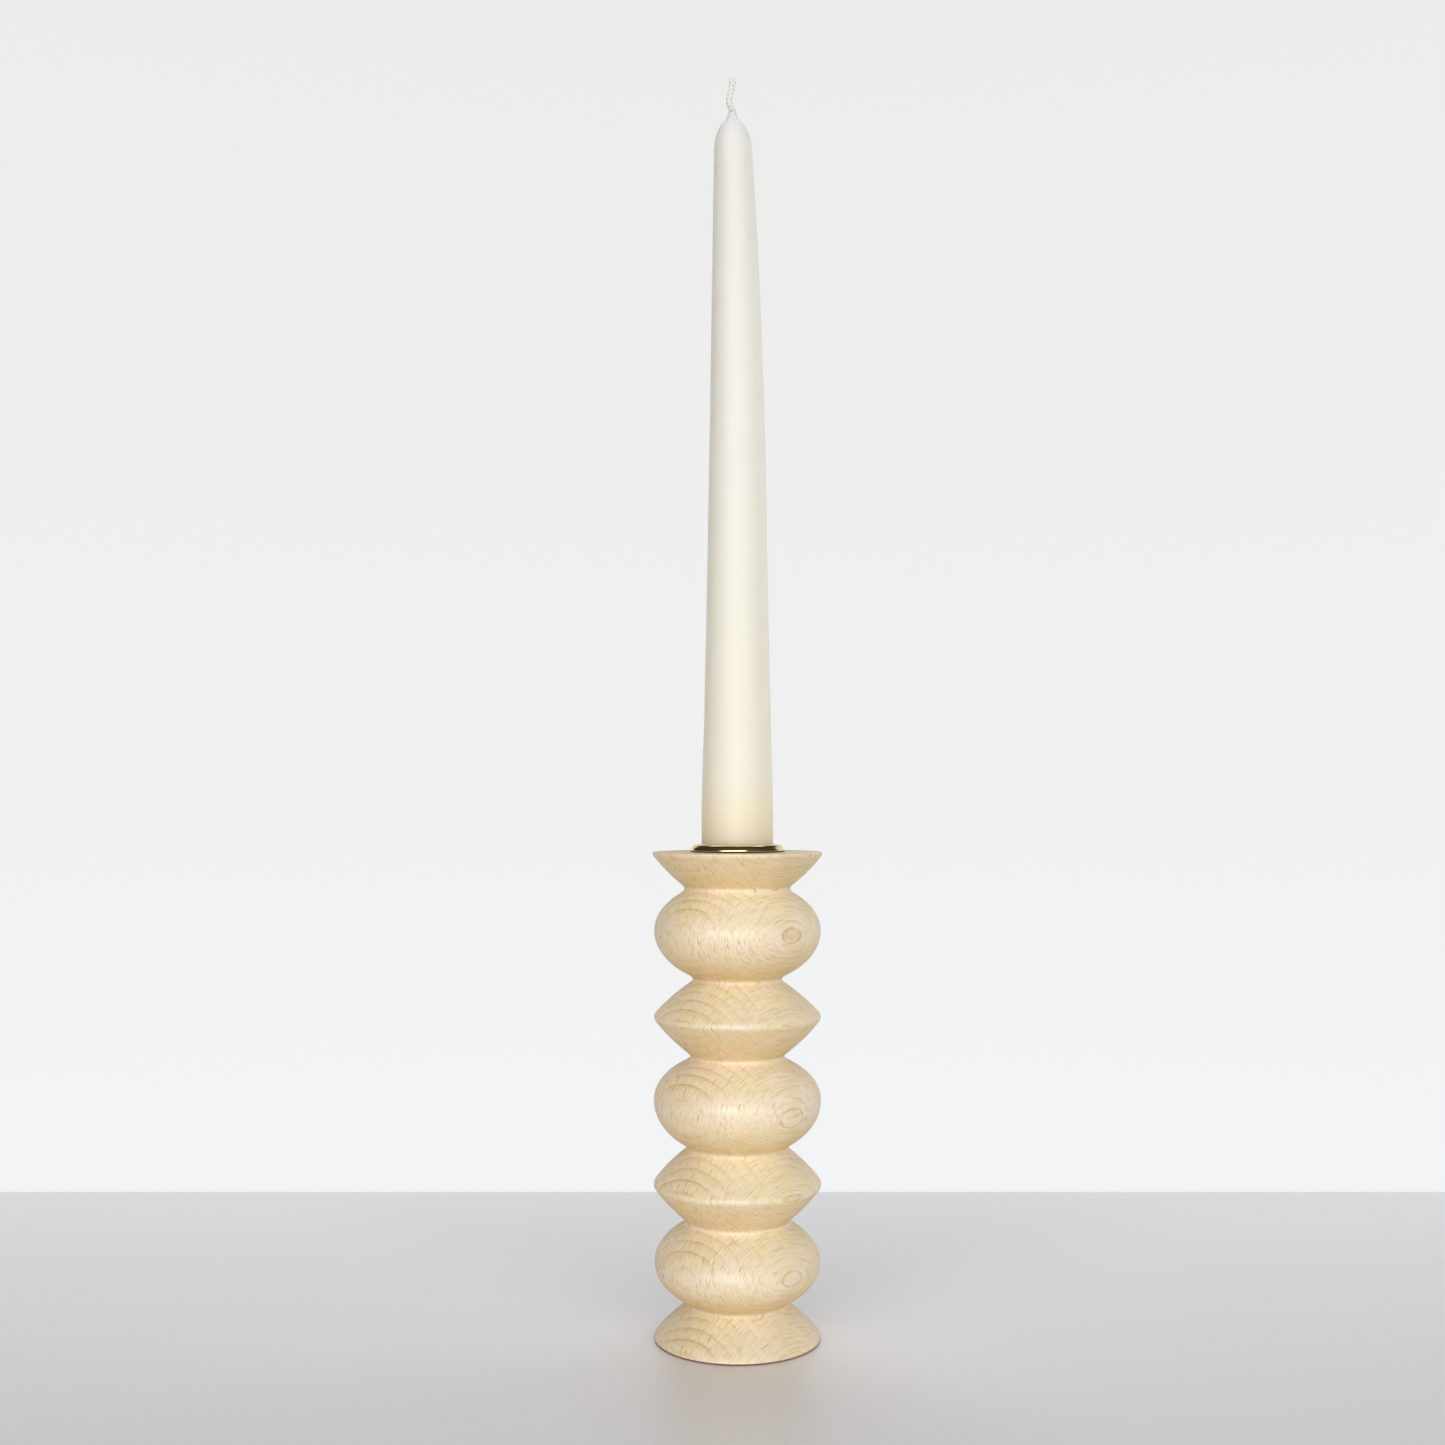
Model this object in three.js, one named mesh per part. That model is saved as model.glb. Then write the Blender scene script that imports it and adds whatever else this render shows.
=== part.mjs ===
// A turned beech candlestick with a pressed brass candle cup, holding a dipped taper candle.
//
// Units are millimetres and +Z is up. The origin is the centre of the foot, on the surface
// that it stands on. Every turned piece is a section, radius against height, spun about Z.
// The candle bows a little towards -X above its middle, and its wick bows with it.

import * as THREE from "three";

// The beech body
const BODY_HEIGHT = 144.6;
const FLANK_BULGE = 0.3; // how round a slope is: 0 is straight, 1 is a full parabola
const EASING = 1.25; // how far sanding reaches to each side of a ridge or a waist
const EASING_SAMPLES = 24;
const FOOT_BEVEL = 0.5; // round the foot's lower edge
const COLLAR_TRIM = 0.64; // how much the rounding takes off the collar's sharp edge
const COLLAR_ROUND = 0.48; // how far that rounding reaches down and inwards
const STEPS_PER_STRETCH = 5;

// The outline from the foot to the collar: crests, with a waist between each two.
// A bulb is part of an ellipse; a ridge is where two sloping flanks meet.
const OUTLINE = [
  { kind: "ridge", z: 1.4, radius: 24.65 },
  { kind: "waist", z: 11, radius: 13.7 },
  { kind: "bulb", z: 23, radius: 24.65 },
  { kind: "waist", z: 34.7, radius: 14.55 },
  { kind: "ridge", z: 46.1, radius: 25.3 },
  { kind: "waist", z: 57.05, radius: 14.3 },
  { kind: "bulb", z: 70.95, radius: 24.9 },
  { kind: "waist", z: 83.5, radius: 12.95 },
  { kind: "ridge", z: 95.7, radius: 25.3 },
  { kind: "waist", z: 107.05, radius: 12.1 },
  { kind: "bulb", z: 121.2, radius: 24.75 },
  { kind: "waist", z: 133.45, radius: 14.8 },
  { kind: "ridge", z: BODY_HEIGHT, radius: 25.85 },
];

// The brass cup, drawn from sheet, and the hole that it is pressed into
const SHEET = 0.5;
const GAP = 0.3; // between pieces that touch
const CUP_BORE_RADIUS = 11.2;
const CUP_DEPTH = 22; // from the body's top face to the cup's floor
const CUP_CORNER = 1.5; // inside radius between the wall and the floor
const RIM_WIDTH = 2.1; // from the rim's crown out to its edge
const RIM_HEIGHT = 2.4; // of the crown, above the body's top face
const RIM_EDGE = 0.5; // the upright part at the foot of the rim
const LIP_RADIUS = 0.8; // where the crown rolls in to the wall
const ARC_STEPS = 4;

// The candle
const BUTT_RADIUS = 10.4; // its lower end, inside the cup
const BUTT_BEVEL = 0.8;
const DOME_Z = 353; // where the taper ends and the round top begins
const DOME_RADIUS = 5.7;
const DOME_HEIGHT = 9.6;
const NIPPLE_RADIUS = 1.8; // the wax drawn up round the wick
const NIPPLE_Z = 364;
const WICK_BORE_RADIUS = 1.2;
const BOW_START_Z = 250;
const BOW = 1.5; // sideways at the top of the dome

// The taper's radius at a few heights above the cup: it is slimmest near its top
const TAPER = [
  { z: 147.5, radius: 10.65 },
  { z: 155.5, radius: 10.65 },
  { z: 183.5, radius: 9.95 },
  { z: 213.5, radius: 9.25 },
  { z: 273, radius: 8.15 },
  { z: 317.5, radius: 6.95 },
  { z: DOME_Z, radius: DOME_RADIUS },
];
const TAPER_STEPS = 14;

// The wick
const WICK_RADIUS = 0.9;
const WICK_SIDES = 8;
const WICK_STEPS = 48;
// Where the bare wick bends above the wax: x and z
const WICK_TIP = [
  [-1.5, 362.6],
  [-1.45, 364.8],
  [-2.45, 368],
  [-1.9, 371],
  [-1.3, 374.6],
];

const ROUND_SEGMENTS = 36;

const beech = new THREE.MeshStandardMaterial({ color: 0xe6d2a8, roughness: 0.5, metalness: 0 });
const brass = new THREE.MeshStandardMaterial({ color: 0xc8b672, roughness: 0.2, metalness: 1 });
const wax = new THREE.MeshStandardMaterial({ color: 0xf1efe6, roughness: 0.35, metalness: 0 });
const cotton = new THREE.MeshStandardMaterial({ color: 0xeee8d8, roughness: 0.9, metalness: 0 });

const point = (radius, z) => new THREE.Vector2(radius, z);

// Part of an ellipse, as points, from one angle to another in degrees.
function arc(centreRadius, centreZ, width, height, fromDegrees, toDegrees) {
  const points = [];
  for (let i = 0; i <= ARC_STEPS; i++) {
    const degrees = fromDegrees + ((toDegrees - fromDegrees) * i) / ARC_STEPS;
    const angle = THREE.MathUtils.degToRad(degrees);
    points.push(point(centreRadius + width * Math.cos(angle), centreZ + height * Math.sin(angle)));
  }
  return points;
}

// Spins a section about Z. The section runs with the solid on its left.
function turned(section) {
  return new THREE.LatheGeometry(section, ROUND_SEGMENTS).rotateX(Math.PI / 2);
}

function piece(name, geometry, material) {
  const mesh = new THREE.Mesh(geometry, material);
  mesh.name = name;
  return mesh;
}

// The body's radius as the gouge leaves it, before sanding.
function cutRadius(z) {
  if (z <= OUTLINE[0].z) return OUTLINE[0].radius;
  const upper = OUTLINE.findIndex((stop) => stop.z >= z);
  const ends = [OUTLINE[upper - 1], OUTLINE[upper]];
  const waist = ends.find((stop) => stop.kind === "waist");
  const crest = ends.find((stop) => stop.kind !== "waist");
  const t = (z - crest.z) / (waist.z - crest.z);
  if (crest.kind === "bulb") {
    const fall = 1 - (waist.radius / crest.radius) ** 2;
    return crest.radius * Math.sqrt(1 - fall * t ** 2);
  }
  const fall = (1 - FLANK_BULGE) * t + FLANK_BULGE * t ** 2;
  return crest.radius - (crest.radius - waist.radius) * fall;
}

// The finished radius: sanding takes the mean of the cut over a short height.
function sandedRadius(z) {
  const reach = Math.min(EASING, z, BODY_HEIGHT - z);
  let sum = 0;
  for (let i = 0; i < EASING_SAMPLES; i++) {
    sum += cutRadius(z + reach * ((2 * i + 1) / EASING_SAMPLES - 1));
  }
  return sum / EASING_SAMPLES;
}

// Points between each crest and waist lie closer together near both of them.
function bodyOutline() {
  const points = [];
  for (let i = 1; i < OUTLINE.length; i++) {
    const from = OUTLINE[i - 1].z;
    const to = OUTLINE[i].z;
    for (let step = 0; step < STEPS_PER_STRETCH; step++) {
      const t = (1 - Math.cos((Math.PI * step) / STEPS_PER_STRETCH)) / 2;
      const z = from + (to - from) * t;
      points.push(point(sandedRadius(z), z));
    }
  }
  return points;
}

function turnedBody() {
  const footRadius = OUTLINE[0].radius;
  const collarRadius = OUTLINE.at(-1).radius - COLLAR_TRIM;
  const boreRadius = CUP_BORE_RADIUS + SHEET + GAP;
  const boreFloor = BODY_HEIGHT - CUP_DEPTH - SHEET - GAP;
  const section = [
    point(0, 0),
    point(footRadius - FOOT_BEVEL, 0),
    point(footRadius, FOOT_BEVEL),
    ...bodyOutline(),
    point(collarRadius, BODY_HEIGHT - COLLAR_ROUND),
    point(collarRadius - COLLAR_ROUND, BODY_HEIGHT),
    point(boreRadius, BODY_HEIGHT),
    point(boreRadius, boreFloor),
    point(0, boreFloor),
  ];
  return piece("turned_body", turned(section), beech);
}

// One sheet thickness all the way: floor, wall, and a crowned rim rolled over on to the wood.
function brassCup() {
  const floor = BODY_HEIGHT - CUP_DEPTH;
  const wallRadius = CUP_BORE_RADIUS + SHEET;
  const crownRadius = CUP_BORE_RADIUS + LIP_RADIUS;
  const crownZ = BODY_HEIGHT + RIM_HEIGHT;
  const edgeZ = BODY_HEIGHT + GAP;
  const shoulderZ = edgeZ + RIM_EDGE;
  const rimRadius = crownRadius + RIM_WIDTH;
  const cornerRadius = CUP_BORE_RADIUS - CUP_CORNER;
  const cornerZ = floor + CUP_CORNER;
  const outerCorner = CUP_CORNER + SHEET;
  const section = [
    point(0, floor - SHEET),
    ...arc(cornerRadius, cornerZ, outerCorner, outerCorner, -90, 0),
    point(wallRadius, crownZ - LIP_RADIUS),
    ...arc(crownRadius, shoulderZ, RIM_WIDTH - SHEET, crownZ - shoulderZ - SHEET, 90, 0),
    point(rimRadius - SHEET, edgeZ),
    point(rimRadius, edgeZ),
    ...arc(crownRadius, shoulderZ, RIM_WIDTH, crownZ - shoulderZ, 0, 90),
    ...arc(crownRadius, crownZ - LIP_RADIUS, LIP_RADIUS, LIP_RADIUS, 90, 180).slice(1),
    ...arc(cornerRadius, cornerZ, CUP_CORNER, CUP_CORNER, 0, -90),
    point(0, floor),
  ];
  return piece("brass_cup", turned(section), brass);
}

// How far the candle's centreline stands to +X of the axis at a height.
function bowAt(z) {
  const t = Math.max(0, z - BOW_START_Z) / (DOME_Z + DOME_HEIGHT - BOW_START_Z);
  return -BOW * t ** 2;
}

function candle() {
  const butt = BODY_HEIGHT - CUP_DEPTH + GAP;
  const taper = new THREE.SplineCurve(TAPER.map(({ z, radius }) => point(radius, z)));
  const boreHeights = [NIPPLE_Z, DOME_Z, ...TAPER.map(({ z }) => z).reverse().slice(1), butt];
  const section = [
    point(BUTT_RADIUS - BUTT_BEVEL, butt),
    point(BUTT_RADIUS, butt + BUTT_BEVEL),
    ...taper.getSpacedPoints(TAPER_STEPS),
    ...arc(0, DOME_Z, DOME_RADIUS, DOME_HEIGHT, 20, 70),
    point(NIPPLE_RADIUS, DOME_Z + DOME_HEIGHT),
    ...boreHeights.map((z) => point(WICK_BORE_RADIUS, z)),
    point(BUTT_RADIUS - BUTT_BEVEL, butt),
  ];
  const geometry = turned(section);
  const place = geometry.getAttribute("position");
  for (let i = 0; i < place.count; i++) {
    place.setX(i, place.getX(i) + bowAt(place.getZ(i)));
  }
  return piece("candle", geometry, wax);
}

// The wick runs from the butt, up the bore, and bends twice above the wax.
function wick() {
  const start = BODY_HEIGHT - CUP_DEPTH + GAP;
  const inside = [start, 200, BOW_START_Z, 275, 300, 325, 345];
  const route = new THREE.CatmullRomCurve3([
    ...inside.map((z) => new THREE.Vector3(bowAt(z), 0, z)),
    ...WICK_TIP.map(([x, z]) => new THREE.Vector3(x, 0, z)),
  ]);
  const sides = [];
  for (let i = 0; i < WICK_SIDES; i++) {
    const angle = (2 * Math.PI * i) / WICK_SIDES;
    sides.push(new THREE.Vector2(WICK_RADIUS * Math.cos(angle), WICK_RADIUS * Math.sin(angle)));
  }
  const geometry = new THREE.ExtrudeGeometry(new THREE.Shape(sides), {
    steps: WICK_STEPS,
    extrudePath: route,
  });
  return piece("wick", geometry, cotton);
}

const candlestick = new THREE.Group();
const taperCandle = new THREE.Group();
taperCandle.add(candle(), wick());
candlestick.add(turnedBody(), brassCup(), taperCandle);

export default candlestick;
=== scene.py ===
"""A turned beech candlestick with a pressed brass cup and a dipped taper candle.

Everything is in metres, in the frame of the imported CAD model: +Z is up, the foot stands on
z = 0, and the camera looks along +Y. The script builds each CAD node again as a fine mesh,
gives it a procedural material, and adds the stage, the light and the camera.
"""

import math

import bpy
import numpy as np
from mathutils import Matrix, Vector, noise


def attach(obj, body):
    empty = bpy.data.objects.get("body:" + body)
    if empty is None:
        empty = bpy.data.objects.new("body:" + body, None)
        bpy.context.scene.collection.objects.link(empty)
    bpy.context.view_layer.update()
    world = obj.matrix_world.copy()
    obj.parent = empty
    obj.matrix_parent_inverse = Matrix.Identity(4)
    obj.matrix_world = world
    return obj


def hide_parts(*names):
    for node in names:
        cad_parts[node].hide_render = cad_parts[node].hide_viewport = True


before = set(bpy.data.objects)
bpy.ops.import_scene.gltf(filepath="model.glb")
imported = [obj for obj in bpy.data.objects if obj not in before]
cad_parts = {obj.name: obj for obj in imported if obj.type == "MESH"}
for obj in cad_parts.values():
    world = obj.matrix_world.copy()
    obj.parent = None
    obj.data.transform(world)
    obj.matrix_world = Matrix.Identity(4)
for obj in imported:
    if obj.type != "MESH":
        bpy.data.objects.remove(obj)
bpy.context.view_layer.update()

MM = 0.001

# ---------------------------------------------------------------- the turning's outline, in mm

BODY_HEIGHT = 144.6
FLANK_BULGE = 0.3
EASING = 1.25

# The crests and waists: kind, height, radius. A least-squares fit to the photo's outline gave
# these values, FLANK_BULGE and EASING; a few of them were then changed.
OUTLINE = [
    ("ridge", 1.4, 24.65),
    ("waist", 11.0, 13.7),
    ("bulb", 23.0, 24.65),
    ("waist", 34.7, 14.55),
    ("ridge", 46.1, 25.3),
    ("waist", 57.05, 14.3),
    ("bulb", 70.95, 24.9),
    ("waist", 83.5, 12.95),
    ("ridge", 95.7, 25.3),
    ("waist", 107.05, 12.1),
    ("bulb", 121.2, 24.75),
    ("waist", 133.45, 14.8),
    ("ridge", BODY_HEIGHT, 25.85),
]
OUTLINE_STEP = 0.55
LENGTH_PER_HEIGHT = 1.45
BODY_SEGMENTS = 200
FOOT_EDGE = 0.45
COLLAR_EDGE = 0.48
COLLAR_FALL = 46.5
EDGE_GAP = 0.2
HOLE_EDGE = 0.2

# Where the turning stays true: near the table, near its top, and round the hole
TRUE_FOOT = 0.5
TRUE_TOP = 0.3
TRUE_HOLE = 2

# How hand sanding leaves the wood, and pressing the rim: width, usual depth, seed
WOOD_WANDERS = [(9.0, 0.07, 11), (2.5, 0.02, 5)]
RIM_WAVE = (6.0, 0.10, 3)

# The cup
SHEET = 0.5
CUP_BORE = 11.2
CUP_DEPTH = 22.0
CUP_CORNER = 1.5
RIM_WIDTH = 2.1
RIM_HEIGHT = 2.4
RIM_EDGE = 0.5
LIP = 0.8
SEAT = 0.05
HOLE_CLEARANCE = 0.12
CUP_SEGMENTS = 160

# The candle
BUTT_RADIUS = 10.4
BUTT_BEVEL = 0.8
BUTT_HOLLOW = 0.4
BUTT_RING = 2.2
DOME_Z = 353.0
DOME_RADIUS = 5.7
DOME_HEIGHT = 9.6
BOW_START = 250.0
BOW = 1.5
TAPER_STEPS = 170
CANDLE_SEGMENTS = 128

# The candle's outline between the cup and the dome: height, radius
TAPER = [
    (147.5, 10.65),
    (155.5, 10.65),
    (183.5, 9.95),
    (213.5, 9.25),
    (273.0, 8.15),
    (317.5, 6.95),
    (DOME_Z, DOME_RADIUS),
]


def cut_radius(z):
    """The body's radius as the gouge leaves it, before sanding."""
    if z <= OUTLINE[0][1]:
        return OUTLINE[0][2]
    upper = next(i for i, stop in enumerate(OUTLINE) if stop[1] >= z)
    ends = (OUTLINE[upper - 1], OUTLINE[upper])
    waist = next(stop for stop in ends if stop[0] == "waist")
    kind, crest_z, crest = next(stop for stop in ends if stop[0] != "waist")
    t = (z - crest_z) / (waist[1] - crest_z)
    if kind == "bulb":
        return crest * math.sqrt(1 - (1 - (waist[2] / crest) ** 2) * t * t)
    return crest - (crest - waist[2]) * ((1 - FLANK_BULGE) * t + FLANK_BULGE * t * t)


def sanded_radius(z, samples=24):
    """The finished radius: sanding takes the mean of the cut over a short height."""
    reach = min(EASING, z, BODY_HEIGHT - z)
    heights = [z + reach * ((2 * i + 1) / samples - 1) for i in range(samples)]
    return sum(cut_radius(h) for h in heights) / samples


def arc(centre_r, centre_z, width, height, start, end, steps):
    """Part of an ellipse, as (radius, z) points, from one angle to another in degrees."""
    angles = np.radians(np.linspace(start, end, steps + 1))
    return [(centre_r + width * math.cos(a), centre_z + height * math.sin(a)) for a in angles]


def spread(points, step):
    """The same polyline with points no further apart than step."""
    out = [points[0]]
    for a, b in zip(points, points[1:]):
        pieces = max(1, math.ceil(math.dist(a, b) / step))
        out += [tuple(np.add(a, np.subtract(b, a) * (i + 1) / pieces)) for i in range(pieces)]
    return out


def build(name, vertices, faces, material, body, node, slot):
    """A finished piece, standing for a CAD node and riding on its body."""
    mesh = bpy.data.meshes.new(name)
    mesh.from_pydata([tuple(v) for v in vertices], [], faces)
    mesh.validate()
    mesh.shade_smooth()
    mesh.materials.append(material)
    piece = bpy.data.objects.new(name, mesh)
    bpy.context.scene.collection.objects.link(piece)
    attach(piece, body)
    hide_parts(node)


def lathe(section, segments, shape):
    """Vertices and faces of a section, (radius, z) in mm with the solid on its left, spun about Z.

    A point on the axis becomes one vertex. shape(radius, z, angle) places each vertex: it
    returns x, y, z in mm.
    """
    vertices, rings = [], []
    for r, z in section:
        if r < 1e-6:
            rings.append([len(vertices)] * segments)
            vertices.append(shape(0.0, z, 0.0))
            continue
        rings.append(list(range(len(vertices), len(vertices) + segments)))
        vertices += [shape(r, z, 2 * math.pi * i / segments) for i in range(segments)]
    faces = []
    for low, high in zip(rings, rings[1:]):
        for i in range(segments):
            j = (i + 1) % segments
            corners = [low[i], low[j], high[j], high[i]]
            face = list(dict.fromkeys(corners))
            if len(face) > 2:
                faces.append(face)
    return np.array(vertices) * MM, faces


# ---------------------------------------------------------------- shapes


def body_section():
    """The body's outline from the middle of its underside, over the collar, to the hole's floor."""
    stops = [0.0, *(z for _, z, _ in OUTLINE)]
    heights = []
    for low, high in zip(stops, stops[1:]):
        pieces = max(2, round((high - low) * LENGTH_PER_HEIGHT / OUTLINE_STEP))
        heights += list(np.linspace(low, high, pieces, endpoint=False))
    foot = OUTLINE[0][2]
    collar = OUTLINE[-1][2]
    hole = CUP_BORE + SHEET + HOLE_CLEARANCE
    floor = BODY_HEIGHT - CUP_DEPTH - SHEET - HOLE_CLEARANCE
    run_out = COLLAR_EDGE / math.tan(math.radians(COLLAR_FALL / 2))
    lip = collar - run_out
    last = BODY_HEIGHT - run_out * math.cos(math.radians(90 - COLLAR_FALL))
    wall = [(sanded_radius(z), z) for z in heights if FOOT_EDGE < z < last - EDGE_GAP]
    return [
        *spread([(0.0, 0.0), (foot - FOOT_EDGE, 0.0)], 1.0),
        *arc(foot - FOOT_EDGE, FOOT_EDGE, FOOT_EDGE, FOOT_EDGE, -90, 0, 5)[1:],
        *wall,
        *arc(lip, BODY_HEIGHT - COLLAR_EDGE, COLLAR_EDGE, COLLAR_EDGE, COLLAR_FALL - 90, 90, 8),
        *spread([(lip, BODY_HEIGHT), (hole + HOLE_EDGE, BODY_HEIGHT)], 0.8)[1:],
        *arc(hole + HOLE_EDGE, BODY_HEIGHT - HOLE_EDGE, HOLE_EDGE, HOLE_EDGE, 90, 180, 2)[1:],
        *spread([(hole, BODY_HEIGHT - HOLE_EDGE), (hole, floor)], 1.5)[1:],
        *spread([(hole, floor), (0.0, floor)], 1.5)[1:],
    ]


def uneven(radius, z, angle, size, depth, seed):
    """A smooth wander round a turned surface, in mm: depth is its usual amount, size its width."""
    place = Vector((radius * math.cos(angle), radius * math.sin(angle), z)) / size
    return depth * noise.noise(place + Vector((seed, 0, 0)))


def body_shape(r, z, a):
    """The turning is not quite true: hand sanding leaves it uneven by a few hundredths."""
    stays_true = z < TRUE_FOOT or z > BODY_HEIGHT - TRUE_TOP or r < CUP_BORE + TRUE_HOLE
    if not stays_true:
        r += sum(uneven(r, z, a, *wander) for wander in WOOD_WANDERS)
    return r * math.cos(a), r * math.sin(a), z


def cup_section():
    """One sheet thickness all the way: floor, wall, and a crowned rim rolled over on to the wood."""
    floor = BODY_HEIGHT - CUP_DEPTH
    crown_r = CUP_BORE + LIP
    crown_z = BODY_HEIGHT + RIM_HEIGHT
    edge_z = BODY_HEIGHT + SEAT
    corner_r = CUP_BORE - CUP_CORNER
    corner_z = floor + CUP_CORNER
    outer = CUP_CORNER + SHEET
    shoulder_z = edge_z + RIM_EDGE
    rise = crown_z - shoulder_z
    return [
        *spread([(0.0, floor - SHEET), (corner_r, floor - SHEET)], 1.0),
        *arc(corner_r, corner_z, outer, outer, -90, 0, 8)[1:],
        *spread([(CUP_BORE + SHEET, corner_z), (CUP_BORE + SHEET, crown_z - LIP)], 1.0)[1:],
        *arc(crown_r, shoulder_z, RIM_WIDTH - SHEET, rise - SHEET, 90, 0, 14),
        (crown_r + RIM_WIDTH - SHEET, edge_z),
        (crown_r + RIM_WIDTH, edge_z),
        *arc(crown_r, shoulder_z, RIM_WIDTH, rise, 0, 90, 20),
        *arc(crown_r, crown_z - LIP, LIP, LIP, 90, 180, 8)[1:],
        *spread([(CUP_BORE, crown_z - LIP), (CUP_BORE, corner_z)], 1.0)[1:],
        *arc(corner_r, corner_z, CUP_CORNER, CUP_CORNER, 0, -90, 8)[1:],
        *spread([(corner_r, floor), (0.0, floor)], 1.0)[1:],
    ]


def cup_shape(r, z, a):
    """The pressed rim is a little wavy, as sheet is."""
    if z > BODY_HEIGHT and r > CUP_BORE + LIP:
        up = min(1.0, (z - BODY_HEIGHT) / RIM_HEIGHT)
        share = up * (1 - up) * 4
        r += uneven(r, z, a, *RIM_WAVE) * share
    return r * math.cos(a), r * math.sin(a), z


def bow(z):
    """How far the candle's centreline stands to +X of the axis, in mm."""
    t = max(0.0, z - BOW_START) / (DOME_Z + DOME_HEIGHT - BOW_START)
    return -BOW * t * t


def smooth_curve(points, count):
    """A Catmull-Rom curve through (z, radius) points, as count (radius, z) points."""
    z = np.array([p[0] for p in points], float)
    r = np.array([p[1] for p in points], float)
    slope = np.gradient(r, z)
    out = []
    for height in np.linspace(z[0], z[-1], count):
        i = min(len(z) - 2, max(0, int(np.searchsorted(z, height)) - 1))
        h = z[i + 1] - z[i]
        t = (height - z[i]) / h
        a = 2 * t**3 - 3 * t**2 + 1
        b = t**3 - 2 * t**2 + t
        c = 3 * t**2 - 2 * t**3
        d = t**3 - t**2
        out.append((a * r[i] + b * h * slope[i] + c * r[i + 1] + d * h * slope[i + 1], height))
    return out


# How the wax runs up the wick above the dome: (radius, height above the dome's foot)
NIPPLE = [(2.3, 8.95), (1.95, 9.4), (1.68, 10.0), (1.42, 10.9), (1.22, 11.8)]
NIPPLE_CAP = 0.15


def candle_section():
    """The candle's outline from its hollowed butt, up the taper and over the dome, to the wick."""
    butt = BODY_HEIGHT - CUP_DEPTH + SEAT
    bevel = BUTT_RADIUS - BUTT_BEVEL
    underside = [(0.0, butt + BUTT_HOLLOW), (BUTT_RADIUS - BUTT_RING, butt + BUTT_HOLLOW), (bevel, butt)]
    dome = [
        (DOME_RADIUS * math.cos(a), DOME_Z + DOME_HEIGHT * math.sin(a))
        for a in np.radians(np.arange(4, 64, 4))
    ]
    return [
        *spread(underside, 1.0),
        *arc(bevel, butt + BUTT_BEVEL, BUTT_BEVEL, BUTT_BEVEL, -90, 0, 5)[1:],
        *spread([(BUTT_RADIUS, butt + BUTT_BEVEL), (TAPER[0][1], TAPER[0][0])], 1.5)[1:],
        *smooth_curve(TAPER, TAPER_STEPS)[1:],
        *dome,
        *((r, DOME_Z + up) for r, up in NIPPLE),
        (0.0, DOME_Z + NIPPLE[-1][1] + NIPPLE_CAP),
    ]


def candle_shape(r, z, a):
    """Dipping leaves shallow rings and runs in the wax, and the candle bows."""
    ripple = 0.05 * noise.noise(Vector((math.cos(a) * 0.6, math.sin(a) * 0.6, z / 11.0)))
    runs = 0.03 * noise.noise(Vector((math.cos(a) * 2.2, math.sin(a) * 2.2, z / 60.0 + 7)))
    lumps = 0.0
    if z > DOME_Z - 4:
        lumps = 0.06 * noise.noise(Vector((r * math.cos(a), r * math.sin(a), z)) / 3.0)
    if z > BODY_HEIGHT and r > 1:
        r += (ripple + runs + lumps) * min(1.0, r / 5)
    return r * math.cos(a) + bow(z), r * math.sin(a), z


# The wick: its bare end above the wax, as x and z in mm
WICK_TIP = [(-1.5, 362.6), (-1.45, 364.8), (-2.45, 368.0), (-1.9, 371.0), (-1.3, 374.6)]
WICK_PITCH = 3.4
WICK_SWAY = 0.5
WICK_CROSS = 0.26
STRAND = 0.46
WICK_STEP = 0.3
FIBRES = 70

# Where the wick starts above the cup's floor, where it is bare above the dome's foot, and the
# length over which its end opens
WICK_START = 0.15
WICK_BARE = 12.2
WICK_OPEN = 1.6


def catmull_rom(points, step):
    """A smooth curve through the points, at about even steps."""
    p = [np.array(q, float) for q in points]
    p = [2 * p[0] - p[1], *p, 2 * p[-1] - p[-2]]
    out = []
    for a, b, c, d in zip(p, p[1:], p[2:], p[3:]):
        count = max(1, round(np.linalg.norm(c - b) / step))
        square = 2 * a - 5 * b + 4 * c - d
        cube = 3 * b - a - 3 * c + d
        for t in np.arange(count) / count:
            out.append(0.5 * (2 * b + (c - a) * t + square * t**2 + cube * t**3))
    out.append(p[-2])
    return np.array(out)


def tube(path, radii, sides, across):
    """A round tube with closed ends along a path. across is a direction that the path never takes."""
    tangent = np.gradient(path, axis=0)
    tangent /= np.linalg.norm(tangent, axis=1)[:, None]
    side = np.cross(tangent, across)
    side /= np.linalg.norm(side, axis=1)[:, None]
    other = np.cross(side, tangent)
    angles = 2 * np.pi * np.arange(sides) / sides
    round_ = np.cos(angles)[None, :, None] * side[:, None] + np.sin(angles)[None, :, None] * other[:, None]
    vertices = (path[:, None] + round_ * np.asarray(radii)[:, None, None]).reshape(-1, 3)
    faces = []
    for k in range(len(path) - 1):
        for i in range(sides):
            j = (i + 1) % sides
            faces.append([k * sides + i, (k + 1) * sides + i, (k + 1) * sides + j, k * sides + j])
    last = (len(path) - 1) * sides
    faces.append(list(range(sides)))
    faces.append([last + i for i in reversed(range(sides))])
    return vertices, faces


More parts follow.
